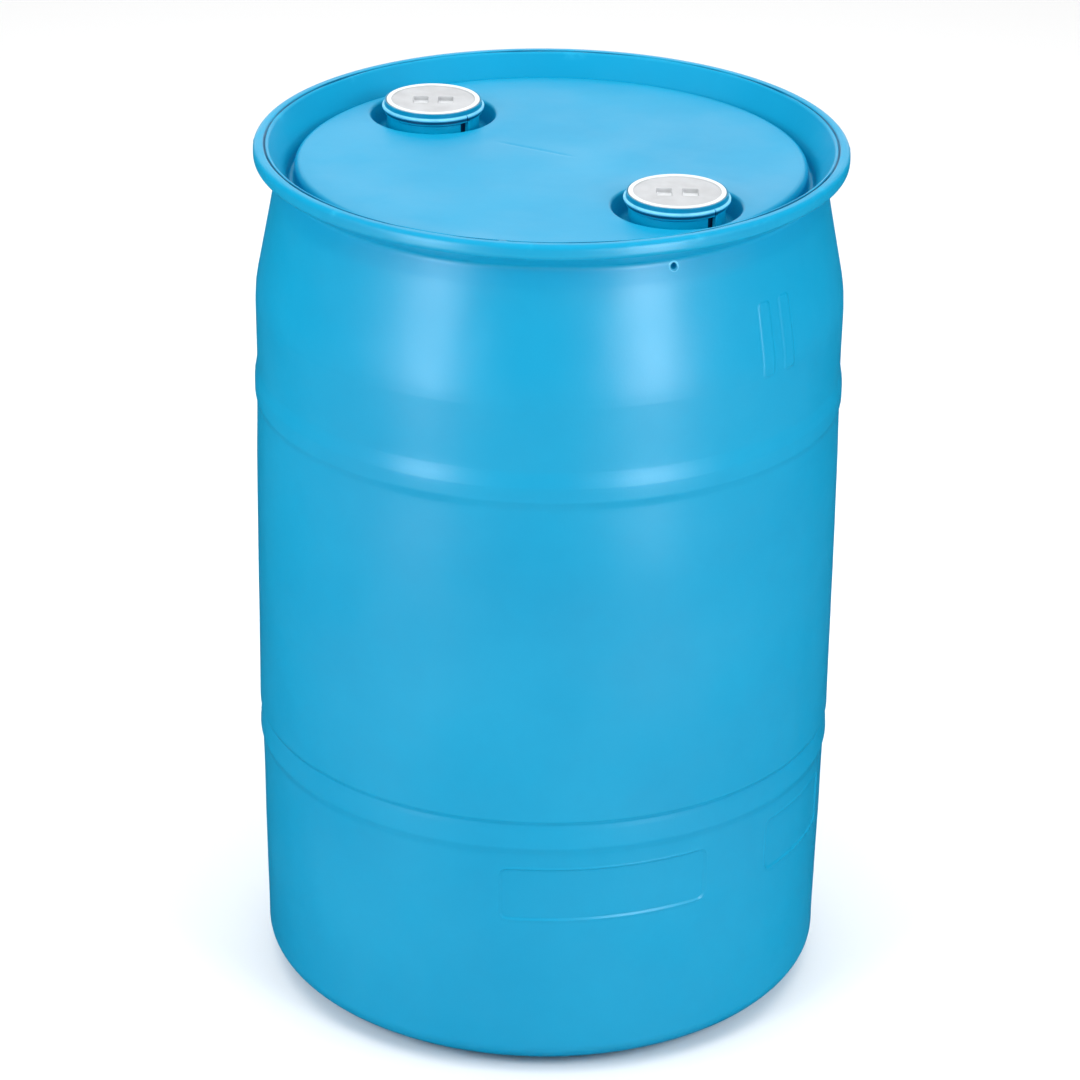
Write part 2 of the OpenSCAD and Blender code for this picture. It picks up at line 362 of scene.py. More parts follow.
def wall_corners(inset):
    """The wall from above the heel to the shoulder, with its two hoops."""
    low, high = 286, 644
    return [
        (LOW_WALL_R + 4.8 - inset, low - 34, 20),
        (BODY_R + 0.4 - inset, low - 24, 10),
        (BODY_R - 1.6 - inset, low, 4),
        (BODY_R + 0.4 - inset, low + 5, 6),
        (BODY_R - inset, high - 20, 8),
        (HOOP_R - inset, high - 11, 8),
        (HOOP_R - inset, high + 3, 12),
        (BODY_R - 0.6 - inset, high + 19, 16),
        (BODY_R - 1 - inset, 742, 150),
    ]


def outer_outline():
    corners = [(BASE_R, BASE_RISE, 0), (FOOT_R - 46, BASE_RISE, 14), (FOOT_R - 20, 0, 12), (FOOT_R, 0, 0)]
    corners += heel(FOOT_R, 0, HEEL_W, HEEL_H)[1:] + wall_corners(0)
    corners += [
        (WAIST_R + 9, WAIST_Z - 21, 40),
        (WAIST_R - 0.5, WAIST_Z, 6),
        (RIM_R - 7, DRUM_H - 16, 6),
        (RIM_R, DRUM_H - 15, 6),
        (RIM_R, DRUM_H, 5),
        (RIM_R - 14, DRUM_H, 5),
        (259.5, WAIST_Z, 14),
        (258, CHANNEL_Z, 3),
        (252, CHANNEL_Z, 2.5),
        (252, HEAD_Z, 7),
        (HEAD_R, HEAD_Z, 0),
    ]
    zones = [
        (PLATE_Z[0] - 3, PLATE_Z[0] + 8, 1.5), (PLATE_Z[1] - 8, PLATE_Z[1] + 3, 1.5),
        (BAR_Z[0] - 2, BAR_Z[0] + 3, 1.2), (BAR_Z[1] - 3, BAR_Z[1] + 2, 1.2),
        (DRUM_H - 16, DRUM_H - 4, 3), (DRUM_H - 4, DRUM_H + 1, 0.8),
        (622, 635, 3), (250, 262, 3), (281, 293, 3),
    ]
    return split_evenly(rounded(corners), fine_zones(zones, 14))


def uneven(angles, heights, seed, wide, tall):
    """Slow waves from 0 to 1 over the wall, the same each run."""
    a, z = np.unique(angles), np.unique(heights)
    table = np.empty((len(z), len(a)))
    for j, turn in enumerate(np.radians(a)):
        x, y = wide * math.cos(turn), wide * math.sin(turn)
        for i, height in enumerate(z):
            table[i, j] = noise.noise(Vector((x + seed, y, height / tall)))
    rows, cols = np.searchsorted(z, heights), np.searchsorted(a, angles)
    return np.clip(0.5 + 0.8 * table[rows, cols], 0, 1)


def shell_relief(r, z, a, out_r, out_z):
    """Plates, bars, parting lines, the rim's groove and slow unevenness, along the wall's normal."""
    side_on = smooth((out_r - 0.5) / 0.4)
    wall = side_on * smooth((z - HEEL_H) / 20) * smooth((WAIST_Z - 10 - z) / 20)
    push = -0.45 * wall * uneven(a, z, 3.0, 2.2, 130.0)
    push -= 0.15 * wall * uneven(a, z, 9.0, 9.0, 34.0)
    # each hoop's steps are crisp on one side and run out slowly on the other
    push -= side_on * 0.8 * smooth((633 - z) / 8) * smooth((z - 560) / 60)
    push -= side_on * 0.9 * smooth((z - 646) / 15) * smooth((740 - z) / 75)
    push -= side_on * 0.6 * bump((z - 287) / 5)
    push -= side_on * 0.6 * smooth((261 - z) / 8) * smooth((z - 150) / 80)
    for centre, sweep in PLATES:
        mid, half = sum(PLATE_Z) / 2, (PLATE_Z[1] - PLATE_Z[0]) / 2
        across = np.radians(angle_gap(a, centre)) * LOW_WALL_R
        edge = box_distance(across, z - mid, math.radians(sweep / 2) * LOW_WALL_R, half, 7)
        # a fine raised lip runs round each recess, as moulded-in plates have
        push += wall * (-PLATE_DEPTH * smooth(0.5 - edge / 1.2) + 0.5 * bump((edge - 1.6) / 1.8))
    for centre in BARS:
        mid, half = sum(BAR_Z) / 2, (BAR_Z[1] - BAR_Z[0]) / 2
        across = np.radians(angle_gap(a, centre)) * BODY_R
        edge = box_distance(across, z - mid, math.radians(BAR_SWEEP / 2) * BODY_R, half, 4)
        push += BAR_OUT * smooth(0.5 - edge / 2.2)
    for centre in PARTING:
        across = np.radians(angle_gap(a, centre)) * r
        push += 0.3 * side_on * bump(across / 1.3) * smooth((z - 4) / 10)
    on_top = (z > DRUM_H - 3) & (r < RIM_R - 7)
    wobble = 0.3 * np.sin(np.radians(a * 7)) + 0.2 * np.sin(np.radians(a * 17 + 40))
    open_groove = 1 - bump(angle_gap(a, TRIM_ANGLE) / 1.6)
    push -= np.where(on_top, 1.8 * bump((r - GROOVE_R - wobble) / 2.0) * open_groove, 0)
    trim = bump(angle_gap(a, TRIM_ANGLE) / 1.3) * bump((r - GROOVE_R - 0.5) / 3.5)
    push += np.where(on_top, 0.5 * trim, 0)
    new_r, new_z = r + push * out_r, z + push * out_z
    return np.minimum(new_r, HOOP_R), np.clip(new_z, 0, DRUM_H)


def head_height(x, y):
    """The plateau: a hair's breadth of sag, slow waves and one faint crease near the middle."""
    near = min([math.dist((x, y), b["centre"]) - RECESS_R for b in BUNGS] + [HEAD_R - math.hypot(x, y)])
    free = float(smooth(near / 30))
    start, end = Vector((-58, 50)), Vector((26, 4))
    along = (end - start).normalized()
    here = Vector((x, y)) - start
    across = abs(here.x * along.y - here.y * along.x)
    inside = float(smooth(here.dot(along) / 18) * smooth(((end - start).length - here.dot(along)) / 18))
    crease = 0.5 * inside * float(bump(across / 3.2))
    waves = 0.9 * noise.noise(Vector((x / 95, y / 95, 1.7)))
    return HEAD_Z - free * (0.5 + crease - waves)


def base_height(x, y):
    """The dished base, with the pinch-off seam standing down from it."""
    ends = float(smooth((SEAM_X - abs(x)) / 3))
    return BASE_RISE - 2.5 * ends * float(smooth((2.6 - abs(y)) / 1.7))


def head_patch(skin, edge, angles, bung_angles, ring_r, height, gap, crease=False):
    """A flat sheet of the head, from its edge in to a ring about each bung."""
    def free(x, y, room=0.0):
        clear = math.hypot(x, y) < edge - room
        return clear and all(math.dist((x, y), b["centre"]) > ring_r + room for b in BUNGS)

    loops = [circle(edge, angles)] + [circle(ring_r, bung_angles, b["centre"]) for b in BUNGS]
    inside = field(-edge, edge, -edge, edge, gap, lambda x, y: free(x, y, gap * 0.55))
    if crease:
        inside += field(-62, 30, -2, 56, 2.5, lambda x, y: abs(y - 18 + 0.548 * x) < 9)
    skin.patch(loops, inside, lambda x, y: free(x, y, 0.02), height)


def recess_outline():
    corners = [
        (RECESS_R, HEAD_Z, 0), (63.3, HEAD_Z, 3.5), (57, CHANNEL_Z, 5), (HOLE_R, CHANNEL_Z, 0.5),
        (HOLE_R, UNDER_HEAD_Z, 0), (BOSS_R, UNDER_HEAD_Z, 2), (BOSS_R, HEAD_Z - WALL_T, 0),
    ]
    return rounded(corners)


def inner_outline():
    """The inside of the wall, from the head down to the base."""
    corners = [(BASE_R - 6, BASE_RISE + BASE_T, 0), (FOOT_R - 44, BASE_RISE + BASE_T, 14)]
    corners += [(FOOT_R - 18, BASE_T, 14), (FOOT_R, BASE_T, 0)]
    corners += heel(FOOT_R, BASE_T, HEEL_W - WALL_T, HEEL_H, 10)[1:] + wall_corners(WALL_T)
    corners += [
        (WAIST_R + 3.5, UNDER_HEAD_Z - 8, 14), (WAIST_R - 2, UNDER_HEAD_Z, 4),
        (252 - WALL_T, UNDER_HEAD_Z, 3), (251.6 - WALL_T, HEAD_Z - WALL_T, 1.2),
        (BOSS_R + 178, HEAD_Z - WALL_T, 0),
    ]
    return split_evenly(rounded(corners), lambda low, high: 40)


def drill_drain(piece):
    """Bores the level drain hole from the channel to the outside, with a small chamfer outside."""
    skin = Skin()
    start, face, end = 255, 266.8, 285
    outline = [(0, start), (DRAIN_R, start), (DRAIN_R, face - 0.9), (DRAIN_R + 1.3, face + 0.7)]
    outline += [(DRAIN_R + 1.3, end), (0, end)]
    skin.lathe(outline, np.arange(0, 360, 10))
    cutter = skin.make("drain_cutter")
    level = Matrix.Rotation(math.radians(90), 4, "Y")
    aim = Matrix.Rotation(math.radians(DRAIN_ANGLE), 4, "Z")
    cutter.data.transform(Matrix.Translation((0, 0, DRAIN_Z * MM)) @ aim @ level)
    bore = piece.modifiers.new("drain", "BOOLEAN")
    bore.operation, bore.solver, bore.object = "DIFFERENCE", "MANIFOLD", cutter
    bored = bpy.data.meshes.new_from_object(piece.evaluated_get(bpy.context.evaluated_depsgraph_get()))
    piece.modifiers.clear()
    piece.data = bored
    bored.materials.clear()
    bpy.data.objects.remove(cutter)
    bored.shade_smooth()
    bored.set_sharp_from_angle(angle=math.radians(40))


def shell_columns():
    bands = [(angle, 0.5, 0.125) for angle in PARTING]
    bands += [(TRIM_ANGLE, 2.1, 0.3)]
    for centre, sweep in PLATES:
        bands += [(centre - sweep / 2 + 0.5, 1.2, 0.3), (centre + sweep / 2 - 0.5, 1.2, 0.3)]
    for centre in BARS:
        bands += [(centre - BAR_SWEEP / 2 + 0.2, 0.6, 0.2), (centre + BAR_SWEEP / 2 - 0.2, 0.6, 0.2)]
    return columns(2.4, bands)


def make_shell():
    skin = Skin()
    angles = shell_columns()
    bung_angles = np.arange(-180, 180, 3.0)
    skin.lathe(outer_outline(), angles, mould=shell_relief)
    head_patch(skin, HEAD_R, angles, bung_angles, RECESS_R, head_height, 6.5, crease=True)
    for b in BUNGS:
        skin.lathe(split_evenly(recess_outline(), lambda low, high: 6), bung_angles, b["centre"])
    inner = np.arange(-180, 180, 4.0)
    head_patch(skin, BOSS_R + 178, inner, bung_angles, BOSS_R, lambda x, y: HEAD_Z - WALL_T, 30)
    skin.lathe(inner_outline(), inner)
    # both faces of the base, the outer one with the pinch-off seam
    seam = [
        (x, y)
        for x in range(-SEAM_X - 3, SEAM_X + 4, 3)
        for y in (-3.4, -2.6, -1.7, -0.9, 0, 0.9, 1.7, 2.6, 3.4)
    ]
    plain = field(
        -BASE_R, BASE_R, -BASE_R, BASE_R, 12,
        lambda x, y: math.hypot(x, y) < BASE_R - 6 and abs(y) > 8,
    )
    skin.patch([circle(BASE_R, angles)], seam + plain, lambda x, y: True, base_height)
    skin.patch([circle(BASE_R - 6, inner)], plain, lambda x, y: True, lambda x, y: BASE_RISE + BASE_T)
    piece = skin.make("drum_shell")
    drill_drain(piece)
    return piece


# ---- bung pieces ----

def neck_mould(b):
    """Cuts the key notch and the flange's split into a neck, and raises the rib beside them."""
    notch_r, rib_r, split_r = HOLE_R - 2.7, HOLE_R + 3.9, b["flange_r"] + 2.2
    snap_z = b["collar_z"] - 5

    def mould(r, z, a, out_r, out_z):
        outer = r > b["flange_r"] - 1

        def between(value, low, high, soft):
            return smooth((value - low) / soft + 0.5) * smooth((high - value) / soft + 0.5)

        rib = (
            between(a, NOTCH_ANGLE + 7.7, NOTCH_ANGLE + 10.9, 0.5)
            * (z > CHANNEL_Z + 0.2) * (z < snap_z - 1)
        )
        rib_wall = outer & (r < rib_r)
        r = np.where(rib_wall, r + (rib_r - r) * rib, r)
        notch = between(a, NOTCH_ANGLE, NOTCH_ANGLE + 7.4, 0.3) * (z > CHANNEL_Z + 1) * (z < b["ledge_z"] - 3)
        r = np.where(outer, r + (notch_r - r) * notch, r)
        split = between(a, NOTCH_ANGLE + 5, NOTCH_ANGLE + 6.4, 0.25) * (z > snap_z - 3.5) * (z < snap_z + 0.5)
        r = np.where(outer & (r > split_r), r + (split_r - r) * split, r)
        # the snap flange's edge dips a little, as a trimmed moulding does
        wave = 0.12 * np.sin(np.radians(3 * a)) + 0.1 * np.sin(np.radians(8 * a + 50))
        r = np.where(r > b["flange_r"] + 3.4, r - 0.12 + wave * 0.5, r)
        return r, z
    return mould


def make_neck(b):
    skin = Skin()
    bands = [(NOTCH_ANGLE + edge, 0.6, 0.15) for edge in (0, 5, 6.4, 7.6, 11)]
    angles = columns(3.0, bands)
    minor_r = b["crest_r"] + 0.4 - b["depth"]
    sleeve_r = b["crest_r"] + 4.4
    low, ledge, snap_z = b["neck_z"], b["ledge_z"], b["collar_z"] - 5
    collar_r = b["flange_r"] + 2
    snap_r = collar_r + 2.5
    corners = [
        (minor_r, low, 0), (sleeve_r, low, 0.6), (sleeve_r, ledge - 5, 1.5),
        (43.1, ledge - 5, 1.5), (43.1, low, 0.6),
        (b["base_r"], low, 1.5), (b["base_r"], UNDER_HEAD_Z, 0.3), (HOLE_R - 0.1, UNDER_HEAD_Z, 0.3),
        (HOLE_R - 0.1, ledge - 4, 0.6), (collar_r, ledge - 2.5, 0.5), (collar_r, snap_z - 3, 0.5),
        (snap_r, snap_z - 3, 0.8), (snap_r, snap_z, 1), (collar_r, snap_z + 0.6, 0.8),
        (collar_r, b["collar_z"], 0.6), (collar_r - 1.6, b["collar_z"], 0.5), (collar_r - 1.6, ledge, 0.4),
        (minor_r + 1.2, ledge, 0), (minor_r, ledge - 1.2, 0),
    ]
    fine = fine_zones([(CHANNEL_Z - 1, b["collar_z"], 0.7)], 3)
    skin.lathe(split_evenly(rounded(corners), fine), angles, b["centre"], neck_mould(b))
    skin.thread(
        minor_r, b["depth"], b["pitch"], b["ridge"],
        low, ledge - 1.2, angles, b["centre"], b["skirt_z"],
    )
    return skin.make(b["side"] + "_neck")


def make_seal(b):
    """A flat ring with a soft sealing bead on both faces, which stay inside the CAD ring's thickness."""
    skin = Skin()
    inner_r, outer_r = b["crest_r"] + 0.8, b["gasket_r"]
    low, high = b["gasket_z"]
    mid_r = (inner_r + outer_r) / 2
    dip = 0.25
    corners = [(inner_r, low + dip, 0.3), (mid_r - 2.2, low + dip, 0.6), (mid_r - 1.2, low, 0.6)]
    corners += [(mid_r + 1.2, low, 0.6), (mid_r + 2.2, low + dip, 0.6), (outer_r, low + dip, 0.5)]
    corners += [(outer_r, high - dip, 0.5), (mid_r + 2.2, high - dip, 0.6), (mid_r + 1.2, high, 0.6)]
    corners += [(mid_r - 1.2, high, 0.6), (mid_r - 2.2, high - dip, 0.6), (inner_r, high - dip, 0.3)]
    outline = rounded(corners, closed=True)
    skin.lathe(outline + outline[:1], np.arange(0, 360, 3.0), b["centre"])
    return skin.make(b["side"] + "_seal")


def pocket_loop(b, side, offset):
    """Outline of one wrench pocket, grown by offset."""
    half_x, half_y, corner = (
        POCKET_HALF_X + offset, POCKET_HALF_Y + offset, max(POCKET_CORNER + offset, 0.4),
    )
    x, y = b["centre"][0] + side * POCKET_X, b["centre"][1]
    corners = [
        (x - half_x, y - half_y), (x + half_x, y - half_y),
        (x + half_x, y + half_y), (x - half_x, y + half_y),
    ]
    loop = []
    for i in range(4):
        arc = arc_corner(corners[i - 1], corners[i], corners[(i + 1) % 4], corner, 15.0)
        after = arc_corner(corners[i], corners[(i + 1) % 4], corners[(i + 2) % 4], corner, 15.0)[0]
        loop += arc
        loop += [tuple(Vector(arc[-1]).lerp(Vector(after), t)) for t in (0.25, 0.5, 0.75)]
    return loop


def make_plug(b):
    """Flanged cup: raised ring round a dished face with two wrench pockets, threaded skirt below."""
    skin = Skin()
    angles = np.arange(0, 360, 3.0)
    root_r = b["crest_r"] - b["depth"]
    inner_r = root_r - 3.5
    face_z, flange_z, top_z = b["top_z"] - 1.5, b["flange_z"], b["top_z"]
    flange_r = b["flange_r"]
    face_r = flange_r - 6.4
    skirt = b["skirt_z"]
    thread_top = flange_z - 1
    cup_z = b["ledge_z"]
    upper = [
        (root_r, thread_top, 0), (root_r, flange_z, 0.5), (flange_r, flange_z, 0.8), (flange_r, top_z, 1.2),
        (flange_r - 4.5, top_z, 0.8), (flange_r - 5, face_z, 0.7), (face_r, face_z, 0),
    ]
    skin.lathe(split_evenly(rounded(upper), lambda low, high: 3), angles, b["centre"])
    cup = [(root_r, skirt, 0), (inner_r, skirt, 0.5), (inner_r, cup_z, 1.5), (0, cup_z, 0)]
    skin.lathe(split_evenly(rounded(cup), lambda low, high: 4), angles, b["centre"])
    skin.thread(root_r, b["depth"], b["pitch"], b["ridge"], skirt, thread_top, angles, b["centre"], skirt)

    def face_height(x, y):
        """The face is a shallow dish, 0.35 mm deeper at its middle."""
        return face_z - 0.35 * float(smooth(1 - math.dist((x, y), b["centre"]) / face_r))

    def free(x, y, room=0.0):
        x, y = x - b["centre"][0], y - b["centre"][1]
        pockets = [
            box_distance(
                x - side * POCKET_X, y,
                POCKET_HALF_X + lip, POCKET_HALF_Y + lip, POCKET_CORNER + lip,
            )
            for side in (-1, 1)
        ]
        return math.hypot(x, y) < face_r - room and min(pockets) > room

    lip, depth, floor_round = 0.9, 5.0, 1.2
    loops = [circle(face_r, angles, b["centre"])] + [pocket_loop(b, side, lip) for side in (-1, 1)]
    cx, cy = b["centre"]
    inside = field(cx - face_r, cx + face_r, cy - face_r, cy + face_r, 2.2, lambda x, y: free(x, y, 0.9))
    skin.patch(loops, inside, lambda x, y: free(x, y, 0.005), face_height)
    for side in (-1, 1):
        levels = [(lip * (1 - math.sin(t)), -lip * (1 - math.cos(t))) for t in np.linspace(0, math.pi / 2, 5)]
        levels += [(-0.12 * t, -lip - (depth - lip - floor_round) * t) for t in (0.33, 0.66, 1.0)]
        levels += [
            (-0.12 - floor_round * (1 - math.cos(t)), -depth + floor_round * (1 - math.sin(t)))
            for t in np.linspace(math.pi / 10, math.pi / 2, 5)
        ]
        rings = []
        for offset, drop in levels:
            rings += [
                (x, y, face_z + drop if drop else face_height(x, y))
                for x, y in pocket_loop(b, side, offset)
            ]
        count = len(pocket_loop(b, side, 0))
        skin.grid(rings, len(levels), count)
        last = rings[-count:]
        skin.add(last, [tuple(range(count))])
    return skin.make(b["side"] + "_plug_cap")


# ---- materials ----

class Shades:
    """A procedural material: small helpers over one node tree with a Principled shader."""

    def __init__(self, name):
        self.material = bpy.data.materials.new(name)
        self.material.use_nodes = True
        self.tree = self.material.node_tree
        self.shader = self.tree.nodes["Principled BSDF"]
        self.place = self.tree.nodes.new("ShaderNodeTexCoord").outputs["Object"]

    def link(self, source, target):
        self.tree.links.new(source, target)

    def math(self, kind, a, b=0.0, clamp=False):
        node = self.tree.nodes.new("ShaderNodeMath")
        node.operation, node.use_clamp = kind, clamp
        for socket, value in zip(node.inputs, (a, b)):
            if isinstance(value, (int, float)):
                socket.default_value = value
            else:
                self.link(value, socket)
        return node.outputs[0]

    def ramp(self, value, low, high, out_low=0.0, out_high=1.0):
        """Maps value smoothly from low..high to out_low..out_high."""
        node = self.tree.nodes.new("ShaderNodeMapRange")
        node.interpolation_type = "SMOOTHSTEP"
        self.link(value, node.inputs["Value"])
        for name, number in (
            ("From Min", low), ("From Max", high), ("To Min", out_low), ("To Max", out_high),
        ):
            node.inputs[name].default_value = number
        return node.outputs[0]

    def stretched(self, scale):
        node = self.tree.nodes.new("ShaderNodeMapping")
        self.link(self.place, node.inputs["Vector"])
        node.inputs["Scale"].default_value = scale
        return node.outputs[0]

    def noise(self, scale, detail=3.0, roughness=0.55, place=None):
        node = self.tree.nodes.new("ShaderNodeTexNoise")
        self.link(place or self.place, node.inputs["Vector"])
        node.inputs["Scale"].default_value = scale
        node.inputs["Detail"].default_value = detail
        node.inputs["Roughness"].default_value = roughness
        return node.outputs["Fac"]

    def mix(self, factor, a, b):
        node = self.tree.nodes.new("ShaderNodeMix")
        node.data_type = "RGBA"
        self.link(factor, node.inputs["Factor"])
        for socket, value in zip([s for s in node.inputs if s.type == "RGBA"], (a, b)):
            if isinstance(value, tuple):
                socket.default_value = (*value, 1)
            else:
                self.link(value, socket)
        return next(s for s in node.outputs if s.type == "RGBA")

    def axis(self, name):
        node = self.tree.nodes.new("ShaderNodeSeparateXYZ")
        self.link(self.place, node.inputs[0])
        return node.outputs[name]

    def away(self, centre, turned=0.0, flat=(1, 1, 0)):
        """Distance from an axis: flat drops the axis's own direction, after a turn about Z."""
        place = self.tree.nodes.new("ShaderNodeMapping")
        self.link(self.place, place.inputs["Vector"])
        place.inputs["Rotation"].default_value = (0, 0, math.radians(-turned))
        level = self.tree.nodes.new("ShaderNodeVectorMath")
        level.operation = "MULTIPLY"
        self.link(place.outputs[0], level.inputs[0])
        level.inputs[1].default_value = flat
        gap = self.tree.nodes.new("ShaderNodeVectorMath")
        gap.operation = "DISTANCE"
        self.link(level.outputs[0], gap.inputs[0])
        gap.inputs[1].default_value = [c * MM for c in centre]
        return gap.outputs["Value"]

    def band(self, value, low, high, soft):
        """1 between low and high, in millimetres, and 0 outside them."""
        rise = self.ramp(value, (low - soft) * MM, low * MM)
        return self.math("MULTIPLY", rise, self.ramp(value, (high + soft) * MM, high * MM))

    def bump(self, height, distance, strength=1.0, under=None):
        node = self.tree.nodes.new("ShaderNodeBump")
        node.inputs["Strength"].default_value = strength
        node.inputs["Distance"].default_value = distance
        self.link(height, node.inputs["Height"])
        if under:
            self.link(under, node.inputs["Normal"])
        return node.outputs[0]

    def scratches(self, scale, thin):
        """Fine hairlines in one direction, from a noise stretched along it."""
        lines = self.noise(1.0, 2.0, 0.5, self.stretched(scale))
        return self.ramp(lines, thin, thin + 0.05)


def polyethylene(name, base, pale, deep, worn, neck=False):
    """Satin polyethylene: cloudy colour, scuffs on the high edges, hairlines and orange peel."""
    s = Shades(name)
    clouds = s.ramp(s.noise(5.0, 4.0), 0.3, 0.7)
    fine = s.ramp(s.noise(60.0, 3.0), 0.35, 0.7)
    colour = s.mix(clouds, deep, pale)
    colour = s.mix(s.math("MULTIPLY", fine, 0.35), colour, base)
    # scuffs where drums rub: the rim's edge and the foot
    height = s.axis("Z")
    rim = s.ramp(height, (DRUM_H - 9) * MM, (DRUM_H - 1) * MM)
    foot = s.ramp(height, 0.022, 0.0)
    edges = s.math("ADD", rim, foot, clamp=True)
    patches = s.ramp(s.noise(26.0, 5.0, 0.65), 0.56, 0.72)
    rub = s.math("MULTIPLY", edges, patches)
    upright = s.scratches((420, 420, 16), 0.68)
    level = s.scratches((14, 14, 700), 0.7)
    marks = s.math("MAXIMUM", upright, level)
    marks = s.math("MULTIPLY", marks, s.ramp(s.noise(3.5, 2.0), 0.48, 0.68))
    wear = s.math("ADD", s.math("MULTIPLY", rub, 0.35), s.math("MULTIPLY", marks, 0.03), clamp=True)
    colour = s.mix(wear, colour, worn)
    if neck:
        # painted light and shade round the snap flange: a painted highlight on its edge, a painted shadow
        # under it, and a lighter, lit blue painted on the wall below
        snap = (BUNGS[0]["collar_z"] - 5) * MM
        painted_lit_band = s.ramp(height, snap - 0.0050, snap - 0.0068)
        colour = s.mix(painted_lit_band, colour, (0.0, 0.34, 0.58))
        # painted shadow in a narrow band under the snap flange
        under = s.math(
            "MULTIPLY",
            s.ramp(height, snap - 0.0028, snap - 0.0034),
            s.ramp(height, snap - 0.0066, snap - 0.0050),
        )
        colour = s.mix(under, colour, (0.0, 0.07, 0.17))
        # painted highlight along the snap flange's edge, broken up by noise
        top, foot = s.ramp(height, snap + 0.0009, snap + 0.0004), s.ramp(height, snap - 0.0022, snap - 0.0010)
        edge = s.math(
            "MULTIPLY",
            s.math("MULTIPLY", top, foot),
            s.ramp(s.noise(45.0, 3.0), 0.3, 0.6, 0.7, 1.0),
        )
        colour = s.mix(edge, colour, (0.2, 0.64, 0.9))
        # painted shade fills the key notch, near black
        near = s.math("MINIMUM", *[s.away((*b["centre"], 0)) for b in BUNGS])
        notch = s.math(
            "MULTIPLY",
            s.band(near, 42.8, 46.15, 0.2),
            s.band(height, CHANNEL_Z, BUNGS[0]["ledge_z"] - 3, 0.4),
        )
        colour = s.mix(notch, colour, (0.0, 0.025, 0.07))
    else:
        # the rim's groove is painted dark as shade, and a pale painted highlight rings the drain hole's edge
        groove = s.math(
            "MULTIPLY",
            s.band(s.away((0, 0, 0)), GROOVE_R - 0.8, GROOVE_R + 0.8, 0.8),
            s.ramp(height, (DRUM_H - 3.4) * MM, (DRUM_H - 2.8) * MM),
        )
        groove = s.math("MULTIPLY", groove, s.ramp(s.noise(22.0, 3.0), 0.3, 0.5, 0.45, 0.95))
        colour = s.mix(groove, colour, (0.0, 0.1, 0.21))
        # pale painted highlight in a ring about the drain hole's axis, on the wall's outside
        hole = s.away((0, 0, DRAIN_Z), DRAIN_ANGLE, (0, 1, 1))
        outside = s.ramp(s.away((0, 0, 0)), 0.2635, 0.2645)
        drain_ring_highlight = s.math("MULTIPLY", s.band(hole, DRAIN_R + 0.3, DRAIN_R + 1.8, 0.3), outside)
        colour = s.mix(drain_ring_highlight, colour, (0.1, 0.52, 0.76))
    s.link(colour, s.shader.inputs["Base Color"])
    gloss = s.ramp(s.noise(9.0, 4.0), 0.3, 0.7, 0.33, 0.41)
    s.link(s.math("ADD", gloss, s.math("MULTIPLY", wear, 0.5), clamp=True), s.shader.inputs["Roughness"])
    waves = s.bump(s.noise(16.0, 2.0), 0.0012, 0.35)
    peel = s.bump(s.noise(420.0, 2.0), 0.00012, 0.5, waves)
    s.link(s.bump(marks, 0.00002, 0.5, peel), s.shader.inputs["Normal"])
    s.shader.inputs["IOR"].default_value = 1.5
    s.shader.inputs["Specular IOR Level"].default_value = 0.3
    return s.material


def white_plastic():
    """Off-white moulded plug plastic with scratch marks, painted shade on its pocket walls and painted light
    on its pocket floors.
    """
    s = Shades("white_plug_plastic")
    clouds = s.ramp(s.noise(40.0, 4.0), 0.3, 0.7)
    colour = s.mix(clouds, (0.41, 0.42, 0.435), (0.465, 0.48, 0.5))
    height = s.axis("Z")
    top_z = BUNGS[0]["top_z"] * MM
    # a painted highlight makes the raised ring's top near white, and the dished face has yellowed
    painted_lit_band = s.ramp(height, top_z - 0.0011, top_z - 0.0004)
    colour = s.mix(painted_lit_band, colour, (0.72, 0.77, 0.79))
    # painted shade on the pocket walls, in a band 2 to 6 mm below the top, broken up by noise
    sunk = s.math(
        "MULTIPLY",
        s.ramp(height, top_z - 0.0018, top_z - 0.0035),
        s.ramp(height, top_z - 0.0064, top_z - 0.0056),
    )
    painted_pocket_shade = s.math("MULTIPLY", sunk, s.ramp(s.noise(150.0, 4.0), 0.4, 0.75, 0.25, 0.8))
    marks = s.math("MULTIPLY", s.scratches((60, 900, 60), 0.62), s.ramp(s.noise(30.0), 0.45, 0.7))
    # painted light makes the pockets' floors paler than the face
    colour = s.mix(s.ramp(height, top_z - 0.0054, top_z - 0.0062), colour, (0.72, 0.74, 0.76))
    # painted pocket shade together with darker scratch marks
    shade_and_scratches = s.math("ADD", s.math("MULTIPLY", painted_pocket_shade, 0.6), s.math("MULTIPLY", marks, 0.15), clamp=True)
    s.link(s.mix(shade_and_scratches, colour, (0.42, 0.43, 0.42)), s.shader.inputs["Base Color"])
    s.link(s.ramp(s.noise(70.0), 0.3, 0.7, 0.3, 0.42), s.shader.inputs["Roughness"])
    grain = s.bump(s.noise(900.0, 2.0), 0.00006, 0.5)
    s.link(s.bump(marks, 0.00004, 0.6, grain), s.shader.inputs["Normal"])
    return s.material


def gasket_rubber():
    """Black rubber with a dusty bloom and a fine pebbled surface."""
    s = Shades("gasket_black_rubber")
    bloom = s.ramp(s.noise(120.0, 5.0, 0.6), 0.45, 0.75)
    s.link(s.mix(bloom, (0.016, 0.016, 0.018), (0.05, 0.05, 0.052)), s.shader.inputs["Base Color"])
    s.link(s.ramp(s.noise(200.0), 0.3, 0.7, 0.55, 0.75), s.shader.inputs["Roughness"])
    s.link(s.bump(s.noise(1500.0, 2.0), 0.00005, 0.5), s.shader.inputs["Normal"])
    return s.material


def dress(piece, body, node, material):
    """Rides the piece on its body in place of a CAD node and material."""
    piece.data.materials.append(material)
    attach(piece, body)
    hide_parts(node)


# ---- camera and studio ----

